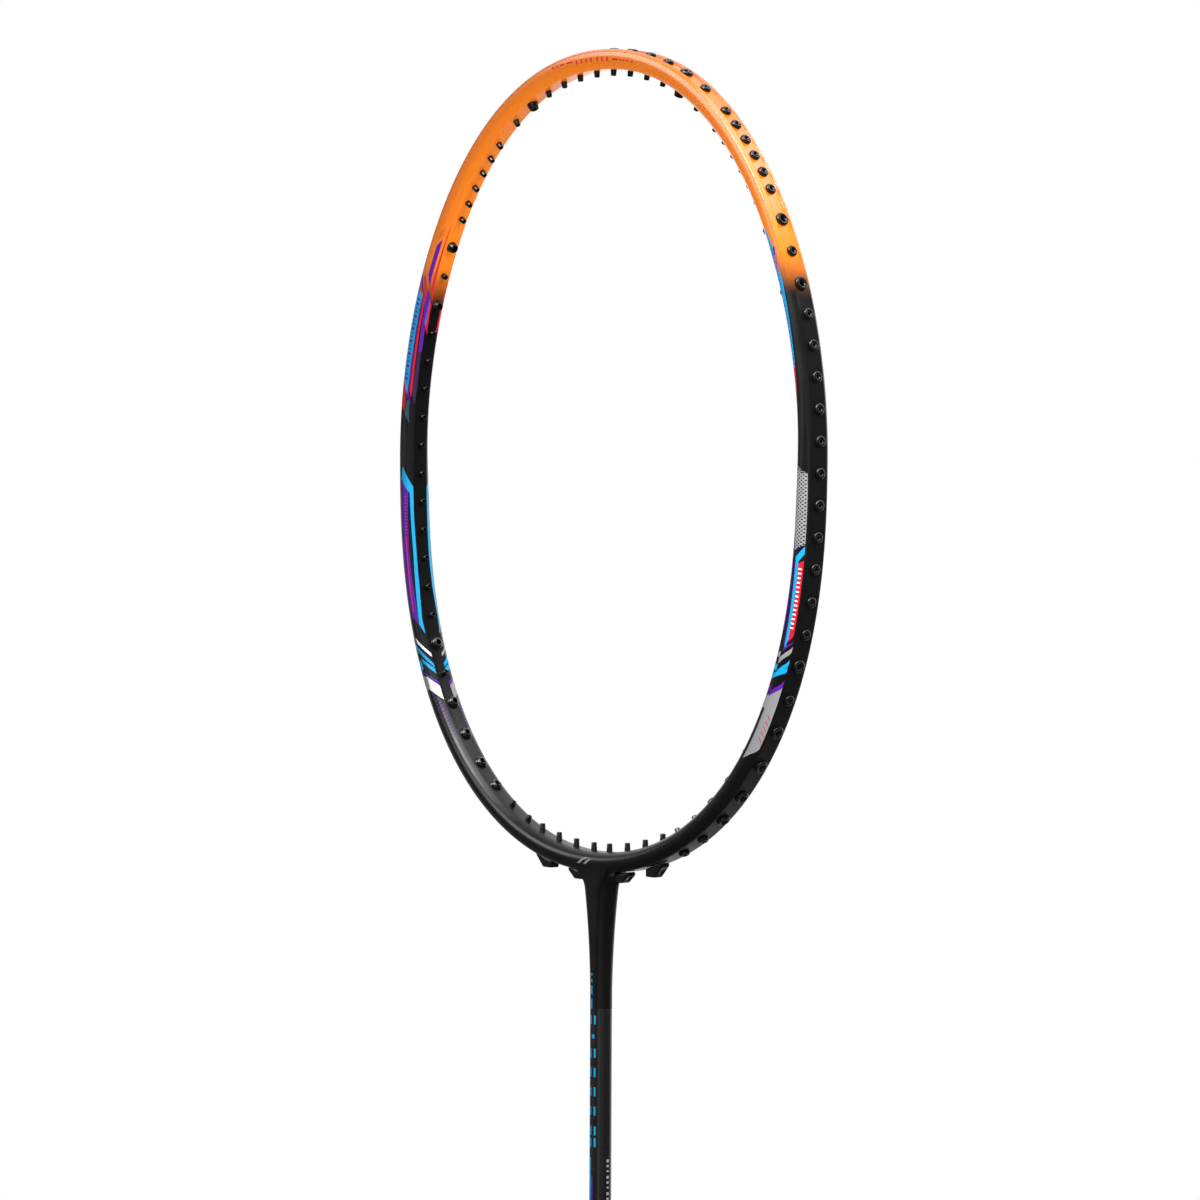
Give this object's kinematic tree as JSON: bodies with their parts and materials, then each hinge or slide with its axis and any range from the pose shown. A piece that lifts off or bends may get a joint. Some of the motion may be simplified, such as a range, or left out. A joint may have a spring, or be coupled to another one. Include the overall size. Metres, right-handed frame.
{
  "type": "badminton racket",
  "caption": "Unstrung badminton racket with an isometric oval head, slim round shaft, tapered cone and wrapped octagonal handle.",
  "frame": {"origin": "middle of the butt's end face, on the shaft's axis", "axes": "+Z along the shaft to the top of the head, +X across the head, -Y out of the front face of the head"},
  "size_m": [0.1972, 0.0276, 0.6754],
  "materials": {
    "frame_lacquer": "satin lacquer over carbon fibre: orange over the top of the head, fading to black, with coloured bands",
    "shaft_lacquer": "black satin lacquer over a carbon tube",
    "joint_resin": "moulded fibre-filled resin",
    "grommet_nylon": "black nylon, slightly glossy",
    "cone_plastic": "black satin moulding",
    "handle_wood": "bare planed wood",
    "cap_plastic": "black moulding",
    "badge_film": "orange film disc with plain rings",
    "tack_steel": "bright steel tack",
    "grip_pu": "black polyurethane wrap, matte and slightly tacky, wound in a spiral",
    "tape_film": "black vinyl tape"
  },
  "bodies": {
    "root": {"butt_badge": "badge_film", "butt_cap": "cap_plastic", "cap_tack_back": "tack_steel", "cap_tack_front": "tack_steel", "cone": "cone_plastic", "finishing_tape": "tape_film", "grip_wrap": "grip_pu", "grommet_l_01": "grommet_nylon", "grommet_l_02": "grommet_nylon", "grommet_l_03": "grommet_nylon", "grommet_l_04": "grommet_nylon", "grommet_l_05": "grommet_nylon", "grommet_l_06": "grommet_nylon", "grommet_l_07_12": "grommet_nylon", "grommet_l_13": "grommet_nylon", "grommet_l_14": "grommet_nylon", "grommet_l_15": "grommet_nylon", "grommet_l_16_20": "grommet_nylon", "grommet_l_21_26": "grommet_nylon", "grommet_l_27": "grommet_nylon", "grommet_l_28": "grommet_nylon", "grommet_l_29": "grommet_nylon", "grommet_l_30": "grommet_nylon", "grommet_l_31": "grommet_nylon", "grommet_l_32": "grommet_nylon", "grommet_l_33": "grommet_nylon", "grommet_l_34": "grommet_nylon", "grommet_l_35_36": "grommet_nylon", "grommet_l_37_38": "grommet_nylon", "grommet_r_01": "grommet_nylon", "grommet_r_02": "grommet_nylon", "grommet_r_03": "grommet_nylon", "grommet_r_04": "grommet_nylon", "grommet_r_05": "grommet_nylon", "grommet_r_06": "grommet_nylon", "grommet_r_07_12": "grommet_nylon", "grommet_r_13": "grommet_nylon", "grommet_r_14": "grommet_nylon", "grommet_r_15": "grommet_nylon", "grommet_r_16_20": "grommet_nylon", "grommet_r_21_26": "grommet_nylon", "grommet_r_27": "grommet_nylon", "grommet_r_28": "grommet_nylon", "grommet_r_29": "grommet_nylon", "grommet_r_30": "grommet_nylon", "grommet_r_31": "grommet_nylon", "grommet_r_32": "grommet_nylon", "grommet_r_33": "grommet_nylon", "grommet_r_34": "grommet_nylon", "grommet_r_35_36": "grommet_nylon", "grommet_r_37_38": "grommet_nylon", "handle_core": "handle_wood", "head_frame": "frame_lacquer", "shaft": "shaft_lacquer", "t_joint": "joint_resin"}
  },
  "joints": []
}
